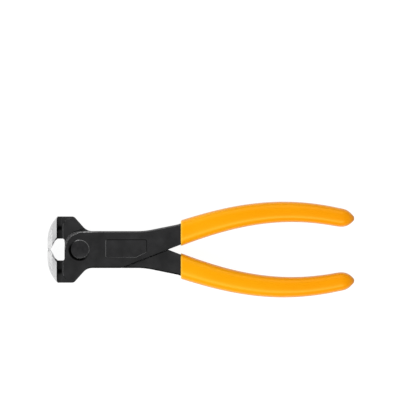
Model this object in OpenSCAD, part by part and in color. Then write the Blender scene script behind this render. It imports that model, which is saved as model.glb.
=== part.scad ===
// End cutting nippers, lying flat with the jaws shut, in millimetres.
// The origin is on the pivot axis, at the flat back face of the joint.
// +X runs to the ends of the handles and +Z comes out of the front face, through the rivet's head.
// The front half holds the lower jaw and the upper handle, and the back half the other two.

/* [Joint] */
// Thickness of each of the two lapped plates
plate_t = 5; // [4:0.1:6]
// Gap between the two lapping faces
lap_gap = 0.1; // [0.06:0.01:0.2]
// Width of the neck behind the pivot, which is also the diameter of each plate's round boss
neck_w = 21.6; // [21:0.1:22.4]
// Distance of the boss's centre behind the pivot axis
boss_offset = 1.78; // [1.4:0.02:2]
// Gap between a plate's edge and the other half's shoulder
shoulder_gap = 0.28; // [0.1:0.01:0.4]
// Angle in degrees that the jaws open
open_angle = 20; // [10:1:22]
// Width of the bevel on the edges of the head, the neck and the handles
edge_bevel = 0.8; // [0.65:0.05:1]

/* [Rivet] */
// Diameter of the rivet's shank
rivet_d = 7; // [5:0.1:8]
// Radial clearance of the shank in the front half
rivet_clearance = 0.05; // [0.02:0.01:0.09]
// Diameter of the rivet's round head
rivet_head_d = 11.7; // [10:0.1:13]
// Height of the head's middle above the front plate
rivet_rise = 1; // [0.8:0.05:1.6]
// Height of the upright rim of the head above the front plate
rivet_rim = 0.2; // [0.1:0.05:0.3]
// Width and height of the bevel round the head
rivet_bevel = 0.4; // [0.2:0.05:0.45]
// Depth of the round seat that the head turns in
rivet_seat = 0.6; // [0.4:0.05:1]
// Gap between the head and its seat, at the bottom and all round
rivet_seat_gap = 0.15; // [0.06:0.01:0.3]
// Largest diameter of the countersunk tail
rivet_tail_d = 10; // [8.5:0.1:12]
// Depth of the countersunk tail
rivet_tail_t = 1.5; // [1:0.1:2]

/* [Jaws] */
// Distance from the pivot axis to the front of the jaws
jaw_reach = 19; // [18.5:0.1:20]
// Width of the jaws along their cutting edges
jaw_w = 21.6; // [20:0.1:24]
// Radius of the ground outer faces, seen from the front
face_r = 20; // [19.5:0.1:22]
// Distance of the centre of that radius from the middle line
face_centre = 5.3; // [4.8:0.1:6]
// Radius of the crown along the cutting edges
crown_r = 46; // [45:0.5:80]
// Gap between the two cutting edges when shut
edge_gap = 0.1; // [0.06:0.01:0.2]
// Height of the small bevel outside each cutting edge
tip_bevel_h = 1; // [0.6:0.05:1.4]
// Depth of that bevel behind the jaws' front
tip_bevel_d = 0.5; // [0.3:0.05:0.7]
// Angle in degrees of the inner faces behind the cutting edges
inner_angle = 26.5; // [24:0.5:29]
// Length of the bevel between a ground face and the jaw's side
side_bevel_l = 1.8; // [1:0.1:2.4]
// Height of that bevel along the cutting edge
side_bevel_h = 1.2; // [0.6:0.1:1.6]
// Width of the bevel at the outer ends of the jaws
end_bevel_w = 1.8; // [1:0.1:2.4]
// Height of that bevel from the front of the jaws down
end_bevel_h = 4; // [2:0.1:5]

/* [Head] */
// Width over both jaws
head_w = 38.8; // [38:0.1:40]
// Distance from the pivot axis forward to the back of the jaws' sides
jaw_back = 13.4; // [13:0.1:14]
// Radius of the hollow flare from the jaws' sides down to the plates
flare_r = 3.5; // [3:0.1:3.9]
// Distance from the pivot axis forward to the end of the head's flat side
side_flat_end = 3.45; // [2.5:0.05:4.5]
// Step from the head's rim up to its flat middle
pad_rise = 0.35; // [0.3:0.05:0.6]
// Width of the bevel on that step
pad_bevel = 0.25; // [0.1:0.05:0.25]
// Width of the rim along the head's flat side
rim_w = 1.15; // [0.8:0.05:1.6]
// Radius of the flat middle's outer corners
pad_corner_r = 4.7; // [3:0.1:6]
// Distance from the pivot axis back to where the head's slope meets the neck
slope_foot = 4.25; // [3.8:0.05:5.5]
// Radius between the head's flat side and its slope
head_corner_r = 2.5; // [1.2:0.1:4]
// Radius between the head's slope and the neck
head_fillet_r = 7; // [4:0.1:9]
// Height of the window between the jaws
window_h = 12.8; // [12.4:0.1:13.4]
// Distance from the pivot axis forward to the window's back wall
window_back = 8.9; // [8.6:0.05:9]
// Radius of the window's back corners
window_corner_r = 1.2; // [0.6:0.1:2]
// Height of the curve between an inner face and the window's side
window_turn_h = 1.7; // [1:0.1:2.2]
// Length of that curve
window_turn_l = 2.6; // [2:0.1:3]

/* [Handles] */
// Distance back to where the lap line leaves the neck's edge
lap_start = 24; // [22:0.5:27]
// Distance back to the point of the V between the handles
v_apex = 51.7; // [49:0.1:53]
// Distance back to where the neck starts to widen
neck_end = 33.5; // [32:0.5:38]
// Radius of the curve where the outer edge leaves the neck
neck_r = 44; // [36:0.5:56]
// Distance of each handle's outer edge from the middle line at the grip
tang_outer = 15.1; // [14.6:0.1:15.8]
// Thickness of the steel inside the grips
tang_t = 8.4; // [6:0.1:8.8]
// Distance from the end of the steel to the end of the grip
tang_short = 14; // [12:0.5:30]

/* [Grips] */
// Distance back to the front ends of the grips
grip_start = 59.2; // [58:0.1:62]
// Distance back to the rear ends of the grips
grip_end = 161; // [155:0.5:168]
// Width of a grip at its front end
grip_w_front = 14.2; // [13.8:0.1:15.5]
// Width of a grip just before its rounded end
grip_w_back = 10.6; // [10:0.1:12]
// Thickness of a grip at its front end
grip_t_front = 13; // [12.6:0.1:14]
// Thickness of a grip just before its rounded end
grip_t_back = 11.4; // [11:0.1:12.5]
// Thickness of the grip's wall beside the steel
grip_wall = 1.6; // [1.2:0.1:2.2]
// Length of a grip's rounded end
grip_round = 8; // [7:0.1:9]
// Distance of a grip's middle from the middle line at its front end
grip_mid_front = 9.55; // [9.4:0.05:10]
// Distance of a grip's middle from the middle line at its rear end
grip_mid_back = 18.25; // [16:0.25:21]

/* [Bare panel] */
// Depth of the bare panel pressed into the front plate
panel_depth = 0.35; // [0.2:0.05:0.6]
// Distance from the pivot axis to the panel's front edge
panel_start = 15.4; // [13:0.1:18]
// Length of the panel
panel_len = 23.7; // [15:0.1:24]
// Distance of the panel's upper edge above the middle line
panel_top = 5.6; // [4:0.1:7]
// Distance of the panel's lower edge below the middle line
panel_bottom = 4.4; // [3:0.1:5]
// Length of the slanted cut at the panel's lower back corner
panel_cut_l = 6.4; // [4:0.1:8]
// Height of that slanted cut
panel_cut_h = 3.1; // [2:0.1:4]
// Radius of the panel's other corners
panel_corner_r = 0.8; // [0.4:0.1:1.5]

/* [Hidden] */

$fn = 96;
overrun = 1;
half_gap = lap_gap / 2;
side_y = head_w / 2;
boss_r = neck_w / 2;
slope_angle = atan2(side_y - boss_r, side_flat_end + slope_foot);
flare_x = flare_r - jaw_back;
rim_z = plate_t - pad_rise;
pad_y = side_y - rim_w;
pad_corner = [flare_x + pad_corner_r, pad_y - pad_corner_r];
corner_mid = [-side_flat_end - head_corner_r * tan(slope_angle / 2), side_y - head_corner_r];
slope_top_x = corner_mid.x + head_corner_r * sin(slope_angle);
fillet_mid = [slope_foot + head_fillet_r * tan(slope_angle / 2), boss_r + head_fillet_r];

// The crown turns each jaw's section about an upright line behind the joint
crown_x = crown_r - jaw_reach;
crown_turn = asin((jaw_w / 2 + overrun) / (crown_x + window_back));
crown_end_x = crown_x - sqrt(crown_r * crown_r - jaw_w * jaw_w / 4);
edge_x = tip_bevel_d - jaw_reach;

// The other half's boss swings inside a circle a little larger than itself
recess_r = boss_r + 2 * boss_offset * sin(open_angle / 4) + shoulder_gap;
recess_mid = boss_offset * [cos(open_angle / 2), sin(open_angle / 2)];
lap_angle = atan2(boss_r, v_apex - lap_start);
tang_inner = (grip_start - v_apex) * tan(lap_angle);

// The bevel on the neck runs past the slanted end of the plate
neck_bevel_end = lap_start + edge_bevel / tan(lap_angle) + overrun;

// The outer edge curves away from the neck and then runs straight to the grip
neck_mid = [neck_end, -boss_r - neck_r];
neck_to_grip = [grip_start, -tang_outer] - neck_mid;
neck_turn = 90 - atan2(neck_to_grip.y, neck_to_grip.x) - acos(neck_r / norm(neck_to_grip));

// Directions in degrees and reaches of the handles' smooth curves
spine_front_angle = 20;
spine_front_reach = 36;
spine_back_angle = -11.5;
spine_back_reach = 30;
spine_end_l = 11;
spine_end_rise = 1;
spine_end_reach = 4;

// Sweep of the grips
section_power = 2.8;
round_power = 0.75;
main_steps = 24;
end_steps = 10;
section_sides = 24;

function heading(angle) = [cos(angle), sin(angle)];

function left_of(run) = [-run.y, run.x] / norm(run);

// Step to the left of a row that turns at b, for each unit of distance from the row
function mitre(a, b, c) =
    let (before = left_of(b - a))
    let (after = left_of(c - b))
    (before + after) / (1 + before * after);

function arc(centre, r, from, to, steps = 8) =
    [for (i = [0:steps]) centre + r * heading(from + (to - from) * i / steps)];

// Point of a smooth curve from a to b that leaves a and reaches b at the given angles
function curve(a, angle_a, reach_a, b, angle_b, reach_b, t) =
    let (p = a + reach_a * heading(angle_a))
    let (q = b - reach_b * heading(angle_b))
    a * pow(1 - t, 3) + 3 * p * t * pow(1 - t, 2) + 3 * q * t * t * (1 - t) + b * pow(t, 3);

// Edge of the head's side, from the neck round the fillet and the slope to the corner
function side_edge() = concat(
    arc(fillet_mid, head_fillet_r, -90, -90 - slope_angle),
    arc(corner_mid, head_corner_r, 90 - slope_angle, 90)
);

// Outline of the head on its jaw's side of the middle line
function head_points() = concat(
    [[fillet_mid.x, 0]],
    side_edge(),
    [[-jaw_reach - overrun, side_y], [-jaw_reach - overrun, 0]]
);

// Edge of the outer corner of the head's flat middle
function pad_corner_edge() = arc(pad_corner, pad_corner_r, 180, 90);

// Outline of the head's flat middle, which stands a little above its rim
function pad_points() = concat(
    [[flare_x, 0]],
    pad_corner_edge(),
    [[fillet_mid.x, pad_y], [fillet_mid.x, 0]]
);

// Outer edge of a neck and its handle, from the pivot to the grip
function outer_edge() = concat(
    [[boss_offset, -boss_r]],
    arc(neck_mid, neck_r, 90, 90 - neck_turn),
    [[grip_start, -tang_outer]]
);

// Outline of the neck and the bare part of the handle, on the far side of the middle line
function neck_points() =
    let (edge = outer_edge())
    concat(
        [[boss_offset, boss_r], [lap_start, boss_r], [grip_start, -tang_inner]],
        [for (i = [len(edge) - 1:-1:0]) edge[i]]
    );

// Edge of a window behind a cutting edge, from the small outer bevel to the flat side
function inner_points() =
    let (turn_y = window_h / 2 - window_turn_h)
    let (turn = [edge_x + (turn_y - edge_gap / 2) * tan(inner_angle), turn_y])
    concat(
        [
            [edge_x - tip_bevel_d - overrun, edge_gap / 2 + (tip_bevel_h - edge_gap / 2) * (1 + overrun / tip_bevel_d)],
            [edge_x, edge_gap / 2]
        ],
        [for (i = [0:6])
            curve(turn, 90 - inner_angle, window_turn_h / 2, turn + [window_turn_l, window_turn_h], 0, window_turn_l / 2, i / 6)]
    );

// Turns a section drawn in the plane of the plates through the whole width of the jaws
module crowned() {
    translate([crown_x, 0, 0])
        rotate([-90, 0, 0])
            rotate_extrude(angle = 2 * crown_turn, start = 180 - crown_turn, $fn = 240)
                mirror([1, 0])
                    translate([-crown_x, 0]) children();
}

// What lies outside the ground face of a jaw
module outside_face() {
    crowned()
        difference() {
            translate([-jaw_reach - face_r / 2, -overrun])
                square([jaw_reach + face_r / 2 - window_back, side_y + 2 * overrun]);
            translate([face_r - jaw_reach, face_centre]) circle(face_r, $fn = 240);
            translate([-jaw_reach, -2 * overrun]) square([jaw_reach, face_centre + 2 * overrun]);
        }
}

// What lies between a jaw and the middle line
module inside_face() {
    crowned()
        polygon(concat(
            inner_points(),
            [[-window_back - overrun, window_h / 2], [-window_back - overrun, -overrun]],
            [[-jaw_reach - 2 * overrun, -overrun], [-jaw_reach - 2 * overrun, inner_points()[0].y]]
        ));
}

// The straight back part of the window
module window_back_room() {
    corner = [-window_back - window_corner_r, window_h / 2 - window_corner_r];
    linear_extrude(jaw_w + 2 * overrun, center = true)
        polygon(concat(
            arc(corner, window_corner_r, 90, 0),
            [for (point = arc(corner, window_corner_r, 0, 90)) [point.x, -point.y]],
            [[corner.x - overrun, -window_h / 2], [corner.x - overrun, window_h / 2]]
        ));
}

// Profile of a head seen along the middle line: plate, hollow flare and jaw with bevelled sides
module head_profile() {
    half_w = jaw_w / 2;
    difference() {
        translate([-jaw_reach - overrun, -half_w])
            square([jaw_reach + overrun + slope_foot + head_fillet_r, jaw_w]);
        for (side = [0, 1])
            mirror([0, side]) {
                translate([flare_x, rim_z + flare_r]) circle(flare_r);
                translate([-jaw_back, rim_z + flare_r]) square([jaw_w, jaw_w]);
                translate([flare_x, rim_z]) square([jaw_w, jaw_w]);
                polygon([
                    [crown_end_x + side_bevel_l, half_w],
                    [crown_end_x - side_bevel_l, half_w - 2 * side_bevel_h],
                    [crown_end_x - side_bevel_l, half_w + overrun],
                    [crown_end_x + side_bevel_l, half_w + overrun]
                ]);
            }
    }
}

// Cuts the bevels at the outer end of a jaw
module end_bevels() {
    for (side = [0, 1])
        mirror([0, 0, side])
            translate([-jaw_reach - overrun, 0, jaw_w / 2])
                rotate([90, 0, 90])
                    linear_extrude(jaw_reach)
                        polygon([
                            [side_y - end_bevel_w, 0],
                            [side_y, -end_bevel_h],
                            [side_y + overrun, -end_bevel_h],
                            [side_y + overrun, overrun],
                            [side_y - end_bevel_w, overrun]
                        ]);
}

// Head and jaw, before the joint is cut
module head() {
    difference() {
        union() {
            intersection() {
                linear_extrude(jaw_w, center = true) polygon(head_points());
                translate([0, side_y + overrun, 0])
                    rotate([90, 0, 0])
                        linear_extrude(side_y + 2 * overrun) head_profile();
            }
            linear_extrude(2 * plate_t, center = true)
                intersection() {
                    polygon(head_points());
                    polygon(pad_points());
                }
        }
        outside_face();
        inside_face();
        end_bevels();
    }
}

// Section of the cut that leaves a bevel of the given width on an edge
module bevel_section(width) {
    polygon([[width, 0], [0, width], [-width, 0], [0, -width]]);
}

// Cuts a bevel along a row of points, mitred where the row turns, on both faces of the plates
module bevel_along(points, width) {
    last = len(points) - 1;
    sides = 4;
    rings = [for (i = [0:last])
        let (a = i > 0 ? points[i - 1] : 2 * points[0] - points[1])
        let (b = points[i])
        let (c = i < last ? points[i + 1] : 2 * points[last] - points[last - 1])
        let (step = width * mitre(a, b, c))
        each [[b.x + step.x, b.y + step.y, 0], [b.x, b.y, width], [b.x - step.x, b.y - step.y, 0], [b.x, b.y, -width]]];
    walls = [for (i = [0:last - 1], k = [0:sides - 1])
        let (a = sides * i + k)
        let (b = sides * i + (k + 1) % sides)
        each [[a, a + sides, b], [b, a + sides, b + sides]]];
    back = [for (face = [[0, 2, 1], [0, 3, 2]]) [for (k = face) sides * last + k]];
    for (side = [-1, 1])
        translate([0, 0, side * plate_t])
            polyhedron(rings, concat(walls, back, [[0, 1, 2], [0, 2, 3]]), convexity = 4);
}

// Bevels on the edges of the head, its flat middle, the neck and the handle
module edge_bevels() {
    bevel_along(concat([[neck_bevel_end, boss_r]], side_edge(), [[flare_x, side_y]]), edge_bevel);
    bevel_along(concat([[flare_x, 0]], pad_corner_edge(), [[slope_top_x, pad_y]]), pad_bevel);
    bevel_along(outer_edge(), edge_bevel);
    translate([boss_offset, 0, -plate_t])
        rotate_extrude(angle = 90, start = 180)
            translate([boss_r, 0]) bevel_section(edge_bevel);
    for (side = [0, 1])
        mirror([0, 0, side])
            translate([flare_x, side_y, rim_z + flare_r])
                rotate([90, 0, 0])
                    rotate_extrude(angle = 90, start = 180)
                        translate([flare_r, 0]) bevel_section(edge_bevel - pad_rise);
}

// Plan of the space that the other half's plate needs from shut to open
module swept_plan() {
    reach = v_apex - lap_start + overrun;
    edge_y = boss_r + shoulder_gap;
    foot = [lap_start, -boss_r] + shoulder_gap * heading(lap_angle - 90);
    translate(recess_mid) circle(recess_r);
    for (turn = [0, open_angle])
        rotate(turn)
            polygon([
                [boss_offset, -edge_y],
                [lap_start, -edge_y],
                foot,
                foot + reach / cos(lap_angle) * heading(lap_angle),
                [v_apex + overrun, edge_y],
                [boss_offset, edge_y]
            ]);
}

function grip_w(x) = grip_w_front + (grip_w_back - grip_w_front) * (x - grip_start) / (grip_end - grip_start);

function grip_t(x) = grip_t_front + (grip_t_back - grip_t_front) * (x - grip_start) / (grip_end - grip_start);

// Share of the full section left at a distance along the rounded end
function round_share(x) =
    let (u = max(0, (x - grip_end + grip_round) / grip_round))
    u < 1 ? pow(1 - u * u, round_power) : 0;

// Middle line of a grip, from its front end to its tip
function spine() =
    let (front = [grip_start, grip_mid_front])
    let (bend = [grip_end - spine_end_l, grip_mid_back + spine_end_rise])
    let (tip = [grip_end, grip_mid_back])
    concat(
        [front - grip_wall * 2 * heading(spine_front_angle)],
        [for (i = [0:main_steps])
            curve(front, spine_front_angle, spine_front_reach, bend, spine_back_angle, spine_back_reach, i / main_steps)],
        [for (i = [1:end_steps])
            curve(bend, spine_back_angle, spine_end_reach, tip, 0, spine_end_reach, sin(90 * i / end_steps))]
    );

function spine_normal(points, i) = left_of(points[min(i + 1, len(points) - 1)] - points[max(i - 1, 0)]);

function rounded(v) = sign(v) * pow(abs(v), 2 / section_power);

// Solid grip of the upper handle, swept along its middle line
module grip_body() {
    middle = spine();
    last = len(middle) - 1;
    sides = section_sides;
    rings = [for (i = [0:last - 1])
        let (normal = spine_normal(middle, i))
        let (share = round_share(middle[i].x))
        for (k = [0:sides - 1])
            let (across = share * grip_w(middle[i].x) / 2 * rounded(cos(360 * k / sides)))
            let (up = share * grip_t(middle[i].x) / 2 * rounded(sin(360 * k / sides)))
            [middle[i].x + normal.x * across, middle[i].y + normal.y * across, up]];
    tip = [[middle[last].x, middle[last].y, 0]];
    walls = [for (i = [0:last - 2], k = [0:sides - 1])
        let (a = i * sides + k)
        let (b = i * sides + (k + 1) % sides)
        each [[a, a + sides, b], [b, a + sides, b + sides]]];
    cap = [for (k = [0:sides - 1]) [(last - 1) * sides + k, last * sides, (last - 1) * sides + (k + 1) % sides]];
    front = [for (k = [1:sides - 2]) [0, k, k + 1]];
    difference() {
        polyhedron(concat(rings, tip), concat(walls, cap, front), convexity = 4);
        translate([grip_start - jaw_reach, -jaw_w, -jaw_w]) cube([jaw_reach, 4 * jaw_w, 2 * jaw_w]);
    }
}

// Steel inside the grip of the upper handle
module tang() {
    middle = spine();
    last = max([for (i = [0:len(middle) - 1]) if (middle[i].x < grip_end - tang_short) i]);
    edge = function (side) [for (i = [0:last])
        middle[i] + side * (grip_w(middle[i].x) / 2 - grip_wall) * spine_normal(middle, i)];
    upper = edge(1);
    lower = edge(-1);
    linear_extrude(tang_t, center = true)
        polygon(concat(upper, [for (i = [last:-1:0]) lower[i]]));
}

// One half with its jaw above the middle line and its plate below the lap
module half() {
    difference() {
        union() {
            head();
            linear_extrude(2 * plate_t, center = true) {
                translate([boss_offset, 0]) circle(boss_r);
                polygon(neck_points());
            }
            mirror([0, 1, 0]) tang();
        }
        translate([0, 0, -half_gap]) linear_extrude(plate_t + overrun) swept_plan();
        window_back_room();
        edge_bevels();
    }
}

// The back half, with the upper jaw and the lower handle
module back_half() {
    color("#2b2c2e")
        difference() {
            translate([0, 0, plate_t]) half();
            cylinder(h = 2 * plate_t, d = rivet_d);
            cylinder(h = rivet_tail_t, d1 = rivet_tail_d, d2 = rivet_d);
        }
}

// Outline of the bare panel's floor
function panel_edge() =
    let (r = panel_corner_r)
    let (end = panel_start + panel_len)
    concat(
        arc([end - r, panel_top - r], r, 0, 90, 4),
        arc([panel_start + r, panel_top - r], r, 90, 180, 4),
        arc([panel_start + r, r - panel_bottom], r, 180, 270, 4),
        [[end - panel_cut_l, -panel_bottom], [end, panel_cut_h - panel_bottom]]
    );

// Room of the panel, whose walls slope out at 45 degrees to the face of the plate
module panel_room() {
    edge = panel_edge();
    sides = len(edge);
    rise = panel_depth + overrun;
    lip = [for (i = [0:sides - 1])
        edge[i] - rise * mitre(edge[(i + sides - 1) % sides], edge[i], edge[(i + 1) % sides])];
    translate([0, 0, 2 * plate_t - panel_depth])
        polyhedron(
            concat([for (point = edge) [point.x, point.y, 0]], [for (point = lip) [point.x, point.y, rise]]),
            concat(
                [[for (i = [0:sides - 1]) i], [for (i = [sides - 1:-1:0]) sides + i]],
                [for (i = [0:sides - 1]) let (j = (i + 1) % sides) [i, sides + i, sides + j, j]]
            )
        );
}

// The front half, with the lower jaw and the upper handle
module front_half() {
    color("#2e2f31")
        difference() {
            translate([0, 0, plate_t]) rotate([180, 0, 0]) half();
            translate([0, 0, plate_t - overrun])
                cylinder(h = plate_t + 2 * overrun, r = rivet_d / 2 + rivet_clearance);
            translate([0, 0, 2 * plate_t - rivet_seat])
                cylinder(h = rivet_seat + overrun, r = rivet_head_d / 2 + rivet_seat_gap);
            panel_room();
        }
}

// The rivet, with its head in front and its tail flush with the back face
module pivot_rivet() {
    head_r = rivet_head_d / 2;
    top = 2 * plate_t;
    top_r = head_r - rivet_bevel;
    dome_h = rivet_rise - rivet_rim - rivet_bevel;
    dome_r = (top_r * top_r + dome_h * dome_h) / (2 * dome_h);
    color("#26272a") {
        cylinder(h = top, d = rivet_d);
        cylinder(h = rivet_tail_t, d1 = rivet_tail_d, d2 = rivet_d);
        rotate_extrude() {
            polygon([
                [0, top - rivet_seat + rivet_seat_gap],
                [head_r, top - rivet_seat + rivet_seat_gap],
                [head_r, top + rivet_rim],
                [top_r, top + rivet_rim + rivet_bevel],
                [0, top + rivet_rim + rivet_bevel]
            ]);
            intersection() {
                translate([0, top + rivet_rise - dome_r]) circle(dome_r, $fn = 240);
                translate([0, top]) square([top_r, rivet_rise + overrun]);
            }
        }
    }
}

// One dipped grip, closed over the end of its handle
module grip() {
    translate([0, 0, plate_t])
        difference() {
            grip_body();
            tang();
        }
}

module upper_grip() {
    color("#ffab0c") grip();
}

module lower_grip() {
    color("#ffab0c") mirror([0, 1, 0]) grip();
}

back_half();
front_half();
pivot_rivet();
upper_grip();
lower_grip();
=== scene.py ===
"""End cutting nippers, shut and lying flat, seen from straight above on a pale floor."""

import math

import bpy
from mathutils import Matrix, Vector


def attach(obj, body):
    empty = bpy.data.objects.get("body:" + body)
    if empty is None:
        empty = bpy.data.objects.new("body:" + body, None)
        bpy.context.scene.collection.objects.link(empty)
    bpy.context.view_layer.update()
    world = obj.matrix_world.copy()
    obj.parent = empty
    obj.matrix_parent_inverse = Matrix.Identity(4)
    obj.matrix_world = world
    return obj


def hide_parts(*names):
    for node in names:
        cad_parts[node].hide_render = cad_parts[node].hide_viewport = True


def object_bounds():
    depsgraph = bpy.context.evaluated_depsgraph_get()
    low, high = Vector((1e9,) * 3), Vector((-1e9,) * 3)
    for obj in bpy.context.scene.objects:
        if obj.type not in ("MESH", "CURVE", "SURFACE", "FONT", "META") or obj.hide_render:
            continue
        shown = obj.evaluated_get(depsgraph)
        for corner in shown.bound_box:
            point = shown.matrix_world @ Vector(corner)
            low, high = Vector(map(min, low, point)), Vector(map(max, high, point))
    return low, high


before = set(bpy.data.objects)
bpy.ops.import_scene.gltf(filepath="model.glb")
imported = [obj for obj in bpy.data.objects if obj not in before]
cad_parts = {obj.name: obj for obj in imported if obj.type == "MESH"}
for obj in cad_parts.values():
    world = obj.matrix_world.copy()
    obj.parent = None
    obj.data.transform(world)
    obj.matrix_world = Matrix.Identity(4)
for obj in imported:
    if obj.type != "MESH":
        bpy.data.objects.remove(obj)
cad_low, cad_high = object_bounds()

MM = 0.001

# Lengths are in millimetres, but for the studio's, which are in metres. Angles are in degrees.

# A half: its head, its lap and its neck
MID_Z = 5.0
PLATE_T = 5.0
JAW_FRONT = -19.0
JAW_BACK = -13.4
JAW_HALF_W = 10.8
LAND_T = 0.3
END_BEVEL_T = 2.0
FACE_AXIS_X = 27.0
FACE_END_R = 20.0
FACE_STRAIGHT = 5.3
EDGE_BEVEL_Y = 1.2
EDGE_BACK_HALF_H = 5.4
WINDOW_BACK = -8.93
WINDOW_HALF_H = 6.4
PAD_FRONT = -9.9
PAD_BEVEL = 0.2
RIM_DEPTH = 4.66
BEVEL_W = 0.8
NECK_HALF_W = 10.85
NECK_END = 33.5
PANEL_X = (15.0, 39.5)
PANEL_HALF_H = 6.0
LAP_START = (24.0, -10.8)
LAP_ANGLE = 21.3
LAP_LENGTH = 28.6
LAP_GAP = 0.28

# How near to a surface a face has to lie to be part of it, and how much of the face's normal has
# to point the surface's way
NEAR = 0.1
LEVEL, FLAT, FACING, SLOPED = 0.99, 0.9, 0.6, 0.3
# How close the corners of the CAD's loose triangles lie that are joined
WELD = 0.001

# The rivet, as radius and height from its tail to the middle of its head
RIVET_SIDES = 96
RIVET_TAIL = ((4.9, 0), (5.0, 0.05), (3.5, 1.5), (3.5, 9.55), (5.7, 9.55), (5.85, 9.7))
RIVET_RIM = (
    (5.85, 10.13), (5.83, 10.2), (5.78, 10.27), (5.51, 10.54), (5.44, 10.59), (5.36, 10.62),
)
RIVET_RIM_R = 5.0
RIVET_DOME_H = 0.38
RIVET_DOME_RINGS = 10

# The grips' middle line: a long curve from the lip to the bend, then a short one to the tip.
# Each end of a curve has its place, the angle it runs at there and the reach of that angle.
GRIP_LIP = (59.2, 9.55)
GRIP_BEND = (150.0, 19.25)
GRIP_TIP = (161.0, 18.25)
LIP_ANGLE = 20.0
BEND_ANGLE = -11.5
LONG_CURVE = ((GRIP_LIP, LIP_ANGLE, 36.0), (GRIP_BEND, BEND_ANGLE, 30.0))
SHORT_CURVE = ((GRIP_BEND, BEND_ANGLE, 4.0), (GRIP_TIP, 0.0, 4.0))

# Width and thickness of the grips at the lip and at the tip
GRIP_W = (14.2, 10.6)
GRIP_T = (13.0, 11.4)
# The ring that they are drawn from, whose corners and whole are enlarged, as smoothing shrinks it
GRIP_SIDES = 8
GRIP_CORNERS_OUT = 1.231
GRIP_RING_OUT = 1.045
GRIP_LEVELS = 3

# Rings of the lip: distance behind the front end, and how far inside the grip's surface
LIP_RINGS = ((1.4, 2.9), (0.4, 1.9), (-0.05, 1.0), (0.0, 0.0), (1.2, 0.0))
# Rings of the long curve: share of the curve, and share of the turn
LONG_RINGS = (
    (0.045, 0.5), (0.1, 0.9), (0.18, 1), (0.27, 1), (0.36, 1), (0.45, 1), (0.54, 1),
    (0.63, 1), (0.72, 1), (0.8, 1), (0.88, 1), (0.95, 1), (1, 1),
)
# Rings of the nose: distance before the tip, and share of the full size
NOSE_RINGS = (
    (8.4, 1.0), (6.6, 0.985), (4.9, 0.905), (3.4, 0.77), (2.1, 0.59), (0.9, 0.36), (0.0, 0.16),
)

# Where a finish changes, from one length to another: along the tool (X), off its middle line (Y),
# off the rivet's axis (R), across the rivet on a slant (SLANT) or off the middle plane (DEPTH)
# The slant along which the rivet's painted shadow and its rim's painted highlight and shade fall
SLANT = (0.643, 0.766)
# Painted shade along the lap line
LAP_SHADE_START = (-1.0, 1.0)
LAP_SHADE_END = (LAP_LENGTH, LAP_LENGTH + 1.2)
LAP_SHADE_HALF_W = (0.26, 0.4)
LAP_SHADE_DEPTH = (3.9, 4.7)
# Painted shadow round the rivet's head
RIVET_SHADOW_R = (6.4, 6.8)
RIVET_SHADOW_SLANT = (-3.5, -0.3)
RIVET_SHADOW_Z = (9.0, 9.3)
# Painted shade and painted highlight on the rivet's rim
RIM_SHADE_R = (5.0, 5.2)
RIM_SHADE_SLANT = (-2.5, 0.5)
RIM_HIGHLIGHT_R = (5.36, 5.42)
RIM_HIGHLIGHT_SLANT = (1.4, 3.5)
# Painted shade on the milled faces round the boss
BOSS_SHADE_R = (10.4, 10.8)
BOSS_SHADE_X = ((-10.8, -10.2), (9.0, 12.0))
# Painted shade on the flare and on the bevels behind the rivet
FLARE_SHADE_BAND_Y = ((10.2, 12.0), (13.2, 14.8))
FLARE_SHADE_X = (-9.8, -9.2)
NECK_SHADE_X = (2.0, 6.0)
# Painted highlight on the ground faces and painted shading on the lands
FACE_HIGHLIGHT_Y = (4.0, 14.0)
LAND_SHADING_Y = (6.0, 11.0)
WEDGE_SIDE = (0.832, -0.555)
WEDGE_EDGE = (-15.23, -15.17)
# How far the rubbed edges' painted highlight stays bright
RUBBED_X = (0.0, 10.0)
# Painted shade on the grips' sides
GRIP_SHADE_DEPTH = (1.0, 4.2)
GRIP_LENGTH_X = (85.0, 158.0)
GRIP_LIP_X = (59.6, 60.2)

# The lines of the grinding wheel and of the mill, as their sizes along three axes
GROUND_LINES = (4, 4, 0.42)
GROUND_TILT, GROUND_TURN = 54.7, 45
MILLED_LINES = (1.1, 1.1, 0.3)

# The studio, in metres, with the name, place, aim, width, height and power of each soft box
SOFT_BOXES = (
    ("box_below", (0.08, -0.6, 0.94), (0.06, 0, 0), 1.1, 0.34, 9.6),
    ("box_above", (0.06, 0.8, 0.8), (0.06, 0, 0), 1.2, 0.6, 4.5),
    ("box_before_the_jaws", (-0.8, 0.0, 0.36), (0, 0, 0), 0.9, 0.35, 1.5),
    ("low_strip", (-0.17, 0.34, 0.03), (0, 0, 0.01), 0.34, 0.06, 0.33),
)
ROOM_LIGHT = 0.2
FLOOR_W = 12
FLOOR_CENTRE = (0.07, 0)
FLOOR_GLOW = 0.96
FARTHEST_SEEN = 10

# The photograph's frame on the plane of the front plate, and the lens that sees it
VIEW_W = 234.3
VIEW_CENTRE = (70.47, 29.06)
VIEW_Z = 10.0
LENS = 600.0
SENSOR = 36.0

# The rubbed and ridge finishes are worn steel put where a painted highlight falls, the dark edge
# is ground steel darkened as painted shade, and the flare's finish is also painted shade on the
# bevels that face away
BLACK, GROUND, MILLED, RUBBED_HIGHLIGHT, LAND, SHADED_EDGE, FLARE, RIDGE_HIGHLIGHT = range(8)


def unit(degrees):
    """A direction in the plane of the tool."""
    return Vector((math.cos(math.radians(degrees)), math.sin(math.radians(degrees))))


def grey(level, blue=0.0):
    """A grey, with a little blue where it is cold."""
    return level, level, level + blue


def only(piece):
    """Selects one object and makes it the active one."""
    bpy.ops.object.select_all(action="DESELECT")
    piece.select_set(True)
    bpy.context.view_layer.objects.active = piece


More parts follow.
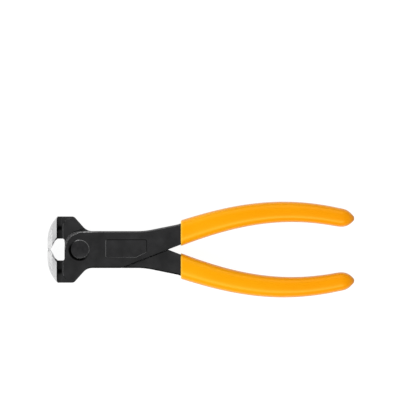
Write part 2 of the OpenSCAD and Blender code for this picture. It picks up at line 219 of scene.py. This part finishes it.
def edit(piece):
    """Opens a piece in edit mode with everything selected."""
    only(piece)
    bpy.ops.object.mode_set(mode="EDIT")
    bpy.ops.mesh.select_mode(type="VERT")
    bpy.ops.mesh.select_all(action="SELECT")


def pick(piece, test):
    """Selects the vertices of an open piece that pass a test on their place in millimetres."""
    bpy.ops.mesh.select_all(action="DESELECT")
    bpy.ops.object.mode_set(mode="OBJECT")
    for vertex in piece.data.vertices:
        vertex.select = test(vertex.co / MM)
    bpy.ops.object.mode_set(mode="EDIT")


def close(piece):
    """Turns all faces outwards and leaves edit mode."""
    bpy.ops.mesh.select_all(action="SELECT")
    bpy.ops.mesh.normals_make_consistent(inside=False)
    bpy.ops.object.mode_set(mode="OBJECT")


def apply(piece, kind, **settings):
    """Adds a modifier and applies it."""
    modifier = piece.modifiers.new(kind.lower(), kind)
    for key, value in settings.items():
        setattr(modifier, key, value)
    only(piece)
    bpy.ops.object.modifier_apply(modifier=modifier.name)


def smooth(piece, degrees):
    """Shades a piece smooth, but for the edges that turn by more than an angle."""
    only(piece)
    bpy.ops.object.shade_smooth_by_angle(angle=math.radians(degrees))


def finish_with(piece, *materials):
    """Gives a piece its materials, in place of those it has."""
    piece.data.materials.clear()
    for material in materials:
        piece.data.materials.append(material)


def fit(piece, node, body):
    """Puts a finished piece in the place of a node of the frame."""
    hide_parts(node)
    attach(piece, body)


# Finishes


class Finish:
    """A node material in the making, with patterns on the object's own coordinates."""

    def __init__(self, name):
        self.material = bpy.data.materials.new(name)
        self.material.use_nodes = True
        self.tree = self.material.node_tree
        self.shader = self.tree.nodes["Principled BSDF"]
        self.place = self.tree.nodes.new("ShaderNodeTexCoord").outputs["Object"]
        axes = self.add("ShaderNodeSeparateXYZ")
        self.link(self.place, axes.inputs[0])
        self.x, self.y, self.z = axes.outputs

    def add(self, kind, **settings):
        node = self.tree.nodes.new(kind)
        for key, value in settings.items():
            setattr(node, key, value)
        return node

    def link(self, source, target):
        self.tree.links.new(source, target)

    def put(self, socket, value):
        """Gives a socket a number, a colour or another node's output."""
        if isinstance(value, bpy.types.NodeSocket):
            self.link(value, socket)
        elif isinstance(value, tuple):
            socket.default_value = (*value, 1)
        else:
            socket.default_value = value

    def set(self, **values):
        """Sets the shader's sockets, with underscores for the spaces in their names."""
        for key, value in values.items():
            self.put(self.shader.inputs[key.replace("_", " ")], value)

    def stretched(self, lengths, turn=(0, 0, 0)):
        """Coordinates on turned axes, counted in a length on each, for a pattern of lines."""
        node = self.add("ShaderNodeMapping", vector_type="TEXTURE")
        self.link(self.place, node.inputs["Vector"])
        node.inputs["Scale"].default_value = [length * MM for length in lengths]
        node.inputs["Rotation"].default_value = [math.radians(angle) for angle in turn]
        return node.outputs["Vector"]

    def noise(self, scale, detail=4, roughness=0.5, at=None):
        node = self.add("ShaderNodeTexNoise")
        self.link(at or self.place, node.inputs["Vector"])
        node.inputs["Scale"].default_value = scale
        node.inputs["Detail"].default_value = detail
        node.inputs["Roughness"].default_value = roughness
        return node.outputs["Fac"]

    def ramp(self, value, low, high, to_low=0, to_high=1):
        """A value taken from one range to another."""
        node = self.add("ShaderNodeMapRange")
        self.link(value, node.inputs["Value"])
        numbers = {"From Min": low, "From Max": high, "To Min": to_low, "To Max": to_high}
        for name, number in numbers.items():
            node.inputs[name].default_value = number
        return node.outputs["Result"]

    def spread(self, noise, reach, to_low=0, to_high=1):
        """A noise's range on either side of its middle, taken to another range."""
        return self.ramp(noise, 0.5 - reach, 0.5 + reach, to_low, to_high)

    def fade(self, length, limits, to_low=0, to_high=1):
        """A value that changes between two lengths in millimetres."""
        return self.ramp(length, limits[0] * MM, limits[1] * MM, to_low, to_high)

    def maths(self, operation, first, second=0):
        node = self.add("ShaderNodeMath", operation=operation)
        for socket, value in zip(node.inputs, (first, second)):
            self.put(socket, value)
        return node.outputs[0]

    def plus(self, first, second):
        return self.maths("ADD", first, second)

    def minus(self, first, second):
        return self.maths("SUBTRACT", first, second)

    def times(self, first, second):
        return self.maths("MULTIPLY", first, second)

    def most(self, first, second):
        return self.maths("MAXIMUM", first, second)

    def size(self, value):
        return self.maths("ABSOLUTE", value)

    def mix(self, share, low, high):
        """A mix of two colours, each plain or from another node."""
        node = self.add("ShaderNodeMix", data_type="RGBA")
        self.put(node.inputs[0], share)
        self.put(node.inputs[6], low)
        self.put(node.inputs[7], high)
        return node.outputs[2]

    def bump(self, height, strength, depth, under=None):
        """A relief with a depth in millimetres, if need be over another one."""
        node = self.add("ShaderNodeBump")
        node.inputs["Strength"].default_value = strength
        node.inputs["Distance"].default_value = depth * MM
        self.link(height, node.inputs["Height"])
        if under is not None:
            self.link(under, node.inputs["Normal"])
        return node.outputs["Normal"]

    def height(self):
        """Distance in front of the middle plane."""
        return self.minus(self.z, MID_Z * MM)

    def radius(self):
        """Distance from the rivet's axis."""
        squares = [self.maths("POWER", axis, 2) for axis in (self.x, self.y)]
        return self.maths("SQRT", self.plus(*squares))

    def towards(self, direction, x, y):
        """How far a place lies in a direction in the plane of the tool."""
        return self.plus(self.times(x, direction[0]), self.times(y, direction[1]))

    def off_rivet_slant(self):
        """Distance from the rivet's axis on the slanting side towards the upper handle."""
        return self.towards(SLANT, self.x, self.y)


def black_oxide():
    """Satin black oxide, clouded and pitted, with painted shade along the lap line and a painted
    shadow round the rivet.
    """
    f = Finish("black_oxide")
    cloud = f.noise(scale=110, detail=5, roughness=0.6)
    grain = f.noise(scale=3200, detail=3, roughness=0.6)
    tone = f.plus(f.times(cloud, 0.6), f.times(grain, 0.4))
    satin = f.mix(f.spread(tone, 0.12), grey(0.010, 0.0005), grey(0.017, 0.001))
    # Painted shade, black and metallic so that it reflects nothing, along the lap line and round
    # the rivet
    painted_shade = f.most(shade_in_the_lap(f), shadow_round_the_rivet(f))
    f.set(Base_Color=f.mix(painted_shade, satin, grey(0.002)), Metallic=painted_shade, Specular_IOR_Level=0.34)
    f.set(Roughness=f.spread(cloud, 0.2, 0.31, 0.42))
    f.set(Normal=f.bump(grain, strength=0.1, depth=0.03, under=f.bump(cloud, 0.1, 0.3)))
    return f.material


def shade_in_the_lap(f):
    """How much painted shade lies on the slanting line where a plate's edge meets the other half.

    The line is the same on either side of the tool, turned over about its length."""
    height = f.height()
    x = f.minus(f.x, LAP_START[0] * MM)
    y = f.minus(f.times(f.y, f.maths("SIGN", height)), LAP_START[1] * MM)
    run, rise = unit(LAP_ANGLE)
    off_line = f.towards((rise, -run), x, y)
    along_line = f.towards((run, rise), x, y)
    off_gap = f.size(f.minus(off_line, LAP_GAP / 2 * MM))
    on_start = f.fade(along_line, LAP_SHADE_START)
    on_length = f.times(on_start, f.fade(along_line, LAP_SHADE_END, 1, 0))
    on_top = f.fade(f.size(height), LAP_SHADE_DEPTH)
    on_line = f.times(f.fade(off_gap, LAP_SHADE_HALF_W, 1, 0), on_top)
    return f.times(on_line, on_length)


def shadow_round_the_rivet(f):
    """How much painted shadow lies round the lower front side of the rivet's head."""
    ring = f.fade(f.radius(), RIVET_SHADOW_R, 1, 0)
    lower = f.fade(f.off_rivet_slant(), RIVET_SHADOW_SLANT, 0.9, 0)
    return f.times(f.times(ring, lower), f.fade(f.z, RIVET_SHADOW_Z))


def flare_scale_and_shade():
    """Dull forge scale, with painted shade: blackest in a band on each side of the flare, and
    behind the rivet.
    """
    f = Finish("flare_scale_and_shade")
    cloud = f.noise(scale=300, detail=5, roughness=0.6)
    off_middle = f.size(f.y)
    band_start, band_end = FLARE_SHADE_BAND_Y
    scale = f.mix(f.spread(cloud, 0.15), grey(0.017, 0.0005), grey(0.026, 0.0005))
    # Painted shade: black bands across the flare, and a lesser darkening nearer its middle line
    band = f.times(f.fade(off_middle, band_start, 0, 0.9), f.fade(off_middle, band_end, 1, 0))
    black = f.most(band, f.fade(off_middle, band_end, 0.4, 0))
    black = f.times(black, f.fade(f.x, FLARE_SHADE_X, 1, 0))
    # Painted shade behind the rivet, on the neck's and the panel's bevels that face away
    black = f.most(black, f.fade(f.x, NECK_SHADE_X, 0, 0.8))
    f.set(Base_Color=f.mix(black, scale, grey(0.001)), Metallic=black, Specular_IOR_Level=0.2)
    f.set(Roughness=f.spread(cloud, 0.2, 0.45, 0.55))
    f.set(Normal=f.bump(cloud, strength=0.1, depth=0.1))
    return f.material


def crossed_lines(f):
    """The crossed slanting lines that a grinding wheel leaves."""
    rising, falling = (
        f.noise(1, detail=3, roughness=0.6, at=f.stretched(GROUND_LINES, (0, GROUND_TILT, turn)))
        for turn in (GROUND_TURN, -GROUND_TURN)
    )
    return f.plus(f.times(rising, 0.5), f.times(falling, 0.5))


def ground_steel(name, dark, light, roughness):
    """Bare ground steel, with a painted highlight that makes it brightest near the middle line.
    """
    f = Finish(name)
    lines = crossed_lines(f)
    tone = f.plus(f.spread(lines, 0.12), f.fade(f.size(f.y), FACE_HIGHLIGHT_Y, 0.6, -0.25))
    f.set(Base_Color=f.mix(tone, dark, light), Metallic=1.0)
    f.set(Roughness=f.spread(lines, 0.2, roughness + 0.07, roughness - 0.05))
    f.set(Normal=f.bump(lines, strength=0.3, depth=0.02))
    return f.material


def ground_land():
    """The ground sides of the jaws, with a black wedge left beside each turn of the window."""
    f = Finish("ground_land")
    lines = crossed_lines(f)
    off_middle = f.size(f.y)
    # Painted shading: darker near the middle line, brighter further out
    tone = f.plus(f.spread(lines, 0.12), f.fade(off_middle, LAND_SHADING_Y, -0.5, 0.1))
    steel = f.mix(tone, grey(0.66, 0.01), grey(0.87))
    black = f.fade(f.towards(WEDGE_SIDE, f.x, off_middle), WEDGE_EDGE)
    f.set(Base_Color=f.mix(black, steel, grey(0.008, 0.0005)), Metallic=f.minus(1, black))
    f.set(Roughness=f.spread(lines, 0.2, 0.51, 0.39))
    f.set(Normal=f.bump(lines, strength=0.3, depth=0.02))
    return f.material


def milled_steel():
    """Machined steel of the lapping faces, the window and the backs of the cutting edges.

    The faces round a boss are darkened with painted shade, from behind the window to the start of
    the neck."""
    f = Finish("milled_steel")
    lines = f.noise(scale=1, detail=3, at=f.stretched(MILLED_LINES))
    steel = f.mix(f.spread(lines, 0.2), grey(0.36, 0.01), grey(0.6, 0.01))
    front, back = BOSS_SHADE_X
    # Painted shade round the boss
    painted_shade = f.times(f.fade(f.radius(), BOSS_SHADE_R), f.fade(f.x, back, 1, 0))
    painted_shade = f.times(painted_shade, f.fade(f.x, front))
    f.set(Base_Color=f.mix(painted_shade, steel, grey(0.13, 0.002)), Metallic=1.0)
    f.set(Roughness=f.spread(lines, 0.2, 0.42, 0.28))
    f.set(Normal=f.bump(lines, strength=0.25, depth=0.02))
    return f.material


def rubbed_highlight_steel(name, dark, light):
    """Edges where the black has rubbed thin, used as a painted highlight: to the bare steel on
    the head, less behind it.
    """
    f = Finish(name)
    wear = f.noise(scale=900, detail=5, roughness=0.7)
    shine = f.times(f.spread(wear, 0.15), f.fade(f.x, RUBBED_X, 1, 0.02))
    f.set(Base_Color=f.mix(shine, dark, light), Metallic=0.6)
    f.set(Roughness=f.spread(wear, 0.2, 0.42, 0.34))
    f.set(Normal=f.bump(wear, strength=0.1, depth=0.02))
    return f.material


def rivet_black():
    """The rivet's smoother black."""
    f = Finish("rivet_black")
    cloud = f.noise(scale=400, detail=4, roughness=0.6)
    black = f.mix(f.ramp(cloud, 0.35, 0.7), grey(0.013, 0.001), grey(0.021, 0.001))
    f.set(Base_Color=black, Specular_IOR_Level=0.45)
    f.set(Roughness=f.spread(cloud, 0.2, 0.2, 0.27))
    f.set(Normal=f.bump(cloud, strength=0.06, depth=0.1))
    return f.material


def rivet_rim():
    """The rim of the rivet's head: a painted highlight of rubbed steel on its upper slant, and
    black with painted shade below.
    """
    f = Finish("rivet_rim")
    wear = f.noise(scale=900, detail=4, roughness=0.6)
    slant, radius = f.off_rivet_slant(), f.radius()
    highlight_colour = f.mix(f.spread(wear, 0.15), grey(0.15, 0.003), grey(0.26, 0.003))
    # Painted shade on the lower slant and painted highlight on the upper one
    painted_shade = f.times(f.fade(slant, RIM_SHADE_SLANT, 1, 0), f.fade(radius, RIM_SHADE_R))
    shine = f.times(f.fade(slant, RIM_HIGHLIGHT_SLANT), f.fade(radius, RIM_HIGHLIGHT_R))
    shaded_rim = f.mix(painted_shade, grey(0.017, 0.001), grey(0.002))
    f.set(Base_Color=f.mix(shine, shaded_rim, highlight_colour), Metallic=f.most(painted_shade, f.times(shine, 0.6)))
    f.set(Specular_IOR_Level=0.45, Roughness=f.spread(wear, 0.2, 0.22, 0.3))
    f.set(Normal=f.bump(wear, strength=0.1, depth=0.02))
    return f.material


def grip_vinyl():
    """Dipped amber vinyl, deeper towards the tips, paler round the lip, and darker on the sides
    as painted shade.
    """
    f = Finish("grip_vinyl")
    cloud = f.spread(f.noise(scale=45, detail=3), 0.2)
    skin = f.noise(scale=1500, detail=2)
    near = f.mix(cloud, (1.0, 0.385, 0.001), (1.0, 0.41, 0.002))
    far = f.mix(cloud, (1.0, 0.33, 0.001), (1.0, 0.355, 0.001))
    # Painted shade on the sides
    side = (0.6, 0.2, 0.001)
    lip = (1.0, 0.54, 0.04)
    top = f.mix(f.fade(f.x, GRIP_LENGTH_X), near, far)
    # The grip's colour, with the painted shade on its sides
    dipped = f.mix(f.fade(f.size(f.height()), GRIP_SHADE_DEPTH), side, top)
    f.set(Base_Color=f.mix(f.fade(f.x, GRIP_LIP_X, 1, 0), dipped, lip))
    f.set(Specular_IOR_Level=0.42, Specular_Tint=(1.0, 0.75, 0.17))
    f.set(Roughness=f.ramp(cloud, 0, 1, 0.3, 0.35))
    f.set(Normal=f.bump(skin, strength=0.06, depth=0.05, under=f.bump(cloud, 0.1, 0.4)))
    return f.material


def floor_white():
    """A white table top with a faint glow of its own, as under a product photograph."""
    f = Finish("floor_white")
    white = f.mix(f.noise(scale=6, detail=2), grey(0.12), grey(0.13))
    f.set(Base_Color=white, Roughness=0.9, Specular_IOR_Level=0.1)
    f.set(Emission_Color=grey(1.0), Emission_Strength=FLOOR_GLOW)
    return f.material


# The two halves


def crown(point):
    """How far a place is from the ground face of the jaws, and which way that face points."""
    lean = min(1, max(0, abs(point.y) - FACE_STRAIGHT) / FACE_END_R)
    upright = math.sqrt(1 - lean * lean)
    out = Vector((point.x - FACE_AXIS_X, 0, point.z - MID_Z))
    face_r = FACE_AXIS_X - JAW_FRONT - FACE_END_R * (1 - upright)
    distance = abs(out.length - face_r)
    return distance, out.normalized() * upright + Vector((0, math.copysign(lean, point.y), 0))


def finish_of(place, normal):
    """Which finish a face of a half has, by where it is and which way it points."""
    depth, off_middle, up = abs(place.z - MID_Z), abs(place.y), abs(normal.z)
    distance, outwards = crown(place)
    if distance < NEAR and normal.dot(outwards) > LEVEL:
        return GROUND
    if place.x < JAW_BACK + NEAR:
        if up > FLAT and depth > JAW_HALF_W - LAND_T:
            return LAND
        if normal.x < -SLOPED and up > FACING and depth > JAW_HALF_W - END_BEVEL_T:
            return GROUND
        # Painted shade: the cutting edges' bevels get the darker ground steel
        if normal.x < -SLOPED and off_middle < EDGE_BEVEL_Y:
            return SHADED_EDGE
        if normal.x > FACING and off_middle < EDGE_BACK_HALF_H:
            return MILLED
    if abs(place.x - WINDOW_BACK) < NEAR and off_middle < WINDOW_HALF_H and normal.x < -FLAT:
        return MILLED
    if depth < NEAR and up > FLAT:
        return MILLED
    if place.x < PAD_FRONT - NEAR and depth > RIM_DEPTH and up < LEVEL:
        return FLARE
    if depth > PLATE_T - BEVEL_W and SLOPED < up < FLAT:
        return bevel_finish(place, normal)
    return BLACK


def bevel_finish(place, normal):
    """Which finish a bevel has: a wall of the panel, an edge of the pad or one of the neck."""
    height = place.z - MID_Z
    if PANEL_X[0] < place.x < PANEL_X[1] and abs(place.y) < PANEL_HALF_H:
        # Painted highlight on the panel walls that face the handles or the upper handle's side,
        # painted shade on the others
        if normal.x > abs(normal.y):
            return RIDGE_HIGHLIGHT
        return RUBBED_HIGHLIGHT if normal.y > SLOPED else FLARE
    # Wear with a painted highlight on the pad's edges that face along the tool
    if abs(height) > PLATE_T - PAD_BEVEL and place.x < 0:
        return RIDGE_HIGHLIGHT if abs(normal.y) < SLOPED else BLACK
    # Rubbed wear with a painted highlight on the neck's edges on one side, and painted shade on
    # the other side, the same on either face
    if abs(place.y) < NECK_HALF_W or place.x > NECK_END:
        return RUBBED_HIGHLIGHT if place.y * height > 0 else FLARE
    return BLACK


def dressed_half(name, node, body, finishes):
    """A half as it leaves the bench: the forging, with its faces finished one by one."""
    piece = bpy.data.objects.new(name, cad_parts[node].data.copy())
    bpy.context.scene.collection.objects.link(piece)
    only(piece)
    bpy.ops.mesh.customdata_custom_splitnormals_clear()
    edit(piece)
    bpy.ops.mesh.remove_doubles(threshold=WELD * MM)
    bpy.ops.object.mode_set(mode="OBJECT")
    finish_with(piece, *finishes)
    smooth(piece, degrees=25)
    mesh = piece.data
    normals = [Vector(corner.vector) for corner in mesh.corner_normals]
    for face in mesh.polygons:
        place = face.center / MM
        face.material_index = finish_of(place, face.normal)
        if face.material_index == GROUND and crown(place)[0] < NEAR:
            for loop in face.loop_indices:
                corner = mesh.vertices[mesh.loops[loop].vertex_index]
                normals[loop] = crown(corner.co / MM)[1]
    mesh.normals_split_custom_set(normals)
    fit(piece, node, body)


# Pieces drawn out ring by ring


class Drawn:
    """A piece in edit mode that grows from a ring of vertices, with its newest ring selected."""

    def __init__(self, name, sides, centre, half_w, half_t, across):
        bpy.ops.object.select_all(action="DESELECT")
        upright = (math.pi / 2, 0, math.pi / 2) if across == "X" else (0, 0, 0)
        bpy.ops.mesh.primitive_circle_add(
            vertices=sides, radius=half_w * MM, location=Vector(centre) * MM, rotation=upright
        )
        bpy.ops.object.transform_apply(location=True, rotation=True, scale=True)
        self.piece = bpy.context.object
        self.piece.name = name
        self.across = across
        self.centre, self.half_w, self.half_t, self.heading = Vector(centre), half_w, half_w, 0
        edit(self.piece)
        self.place(centre, half_w, half_t, 0)

    def turn(self, degrees):
        """Turns the selected ring about its centre, in the plane of the tool."""
        if degrees:
            angle = -math.radians(degrees)
            centre = self.centre * MM
            bpy.ops.transform.rotate(value=angle, orient_axis="Z", center_override=centre)

    def place(self, centre, half_w, half_t, heading):
        """Gives the selected ring its size, heading and place."""
        wide, tall = half_w / self.half_w, half_t / self.half_t
        self.turn(-self.heading)
        flat = (1, wide, tall) if self.across == "X" else (wide, tall, 1)
        bpy.ops.transform.resize(value=flat, center_override=self.centre * MM)
        self.turn(heading)
        bpy.ops.transform.translate(value=(Vector(centre) - self.centre) * MM)
        self.centre, self.half_w, self.half_t, self.heading = (
            Vector(centre), half_w, half_t, heading
        )

    def draw(self, centre, half_w, half_t, heading=0):
        """Draws out one more ring."""
        bpy.ops.mesh.extrude_region_move()
        self.place(centre, half_w, half_t, heading)


def rivet():
    """The rivet, turned in one piece: flush tail, shank, rounded rim and low dome."""
    rings = list(RIVET_TAIL + RIVET_RIM)
    rim_r, rim_z = rings[-1]
    for i in range(1, RIVET_DOME_RINGS):
        share = 1 - i / RIVET_DOME_RINGS
        rings.append((rim_r * share, rim_z + RIVET_DOME_H * (1 - share * share)))
    (r, z), *others = rings
    lathe = Drawn("turned_rivet", RIVET_SIDES, (0, 0, z), r, r, "Z")
    bpy.ops.mesh.edge_face_add()
    for r, z in others:
        lathe.draw((0, 0, z), r, r)
    close(lathe.piece)
    smooth(lathe.piece, degrees=35)
    finish_with(lathe.piece, rivet_black(), rivet_rim())
    rim_foot = RIVET_RIM[0][1]
    for face in lathe.piece.data.polygons:
        place = face.center / MM
        face.material_index = int(place.xy.length > RIVET_RIM_R and place.z > rim_foot)
    fit(lathe.piece, "pivot_rivet", "back")


# The grips


def along(curve, t):
    """A point of one of the grips' curves, at a share of its length, and its heading there."""
    (start, start_angle, start_reach), (end, end_angle, end_reach) = curve
    a, d = Vector(start), Vector(end)
    b, c = a + start_reach * unit(start_angle), d - end_reach * unit(end_angle)
    s = 1 - t
    point = a * s ** 3 + 3 * b * t * s ** 2 + 3 * c * t * t * s + d * t ** 3
    run = (b - a) * s * s + 2 * (c - b) * s * t + (d - c) * t * t
    return point, math.degrees(math.atan2(run.y, run.x))


def grip_half(size, x):
    """Half the width or thickness of a grip, at a place along the tool."""
    share = (x - GRIP_LIP[0]) / (GRIP_TIP[0] - GRIP_LIP[0])
    return (size[0] + (size[1] - size[0]) * share) / 2


def grip_rings():
    """Centre, half width, half thickness and heading of each ring of the upper grip."""
    rings = []
    slope = math.tan(math.radians(LIP_ANGLE))
    for back, inside in LIP_RINGS:
        x = GRIP_LIP[0] + back
        half_w = grip_half(GRIP_W, x) / math.cos(math.radians(LIP_ANGLE)) - inside
        rings.append((x, GRIP_LIP[1] + back * slope, half_w, grip_half(GRIP_T, x) - inside, 0))
    for t, turned in LONG_RINGS:
        (x, y), heading = along(LONG_CURVE, t)
        half_w = grip_half(GRIP_W, x) / math.cos(math.radians(heading * (1 - turned)))
        rings.append((x, y, half_w, grip_half(GRIP_T, x), heading * turned))
    for before, share in NOSE_RINGS:
        x = GRIP_TIP[0] - before
        (_, y), heading = along(SHORT_CURVE, 1 - before / (GRIP_TIP[0] - GRIP_BEND[0]))
        rings.append((x, y, grip_half(GRIP_W, x) * share, grip_half(GRIP_T, x) * share, heading))
    return rings


def drawn_grip(name):
    """A grip drawn out along its middle line from an eight-sided ring, and smoothed."""
    (x, y, half_w, half_t, heading), *others = grip_rings()
    grip = Drawn(name, GRIP_SIDES, (x, y, MID_Z), half_w, half_t, "X")
    corner = min(half_w, half_t) / 3
    pick(grip.piece, lambda v: abs(v.y - y) > corner and abs(v.z - MID_Z) > corner)
    corners, ring = (1, GRIP_CORNERS_OUT, GRIP_CORNERS_OUT), (1, GRIP_RING_OUT, GRIP_RING_OUT)
    middle = Vector((x, y, MID_Z)) * MM
    bpy.ops.transform.resize(value=corners, center_override=middle)
    bpy.ops.mesh.select_all(action="SELECT")
    bpy.ops.transform.resize(value=ring, center_override=middle)
    bpy.ops.mesh.edge_face_add()
    for x, y, half_w, half_t, heading in others:
        grip.draw((x, y, MID_Z), half_w, half_t, heading)
    close(grip.piece)
    apply(grip.piece, "SUBSURF", levels=GRIP_LEVELS, render_levels=GRIP_LEVELS)
    smooth(grip.piece, degrees=60)
    return grip.piece


def mirrored(piece, name):
    """A copy of a piece, mirrored across the middle line of the tool."""
    only(piece)
    bpy.ops.object.duplicate()
    copy = bpy.context.object
    copy.name = name
    edit(copy)
    bpy.ops.transform.resize(value=(1, -1, 1), center_override=(0, 0, 0))
    close(copy)
    return copy


def grips(vinyl):
    """The two dipped grips, each the mirror image of the other."""
    upper = drawn_grip("upper_dipped_grip")
    finish_with(upper, vinyl)
    lower = mirrored(upper, "lower_dipped_grip")
    fit(upper, "upper_grip", "front")
    fit(lower, "lower_grip", "back")


# The studio


def soft_box(name, place, aim, width, height, power):
    """A lamp with a soft box, out of the camera's sight."""
    box = bpy.data.lights.new(name, "AREA")
    box.shape = "RECTANGLE"
    box.size, box.size_y = width, height
    box.energy = power
    lamp = bpy.data.objects.new(name, box)
    lamp.location = place
    lamp.rotation_euler = (Vector(aim) - Vector(place)).to_track_quat("-Z", "Y").to_euler()
    lamp.visible_camera = False
    bpy.context.scene.collection.objects.link(lamp)


def studio():
    """The white room, its lamps, the floor and the camera straight above."""
    scene = bpy.context.scene
    scene.view_settings.view_transform = "Standard"
    world = bpy.data.worlds.new("studio")
    world.use_nodes = True
    room = world.node_tree.nodes["Background"].inputs
    room["Color"].default_value = (1, 1, 1, 1)
    room["Strength"].default_value = ROOM_LIGHT
    scene.world = world
    for box in SOFT_BOXES:
        soft_box(*box)

    bpy.ops.object.select_all(action="DESELECT")
    bpy.ops.mesh.primitive_plane_add(size=FLOOR_W, location=(*FLOOR_CENTRE, cad_low.z))
    floor = bpy.context.object
    floor.name = "floor"
    finish_with(floor, floor_white())

    lens = bpy.data.cameras.new("camera")
    lens.lens, lens.sensor_width, lens.clip_end = LENS, SENSOR, FARTHEST_SEEN
    camera = bpy.data.objects.new("camera", lens)
    camera.location = Vector((*VIEW_CENTRE, VIEW_Z + VIEW_W * LENS / SENSOR)) * MM
    scene.collection.objects.link(camera)
    scene.camera = camera


half_finishes = (
    black_oxide(),
    ground_steel("ground_face", grey(0.5, 0.01), grey(0.68), roughness=0.38),
    milled_steel(),
    # Rubbed steel, used as a painted highlight on the edges
    rubbed_highlight_steel("rubbed_highlight_steel", grey(0.055, 0.001), grey(0.62, 0.003)),
    ground_land(),
    # Ground steel darkened as painted shade, for the cutting edges' bevels
    ground_steel("edge_land_shade", grey(0.2, 0.005), grey(0.33, 0.005), roughness=0.4),
    # Forge scale, with painted shade on the flare and on the bevels behind the rivet
    flare_scale_and_shade(),
    # Worn steel, used as a painted highlight on the ridges and panel walls
    rubbed_highlight_steel("worn_ridge_highlight", grey(0.25, 0.003), grey(0.45, 0.003)),
)
dressed_half("upper_jaw_half", "back_half", "back", half_finishes)
dressed_half("lower_jaw_half", "front_half", "front", half_finishes)
rivet()
grips(grip_vinyl())
studio()
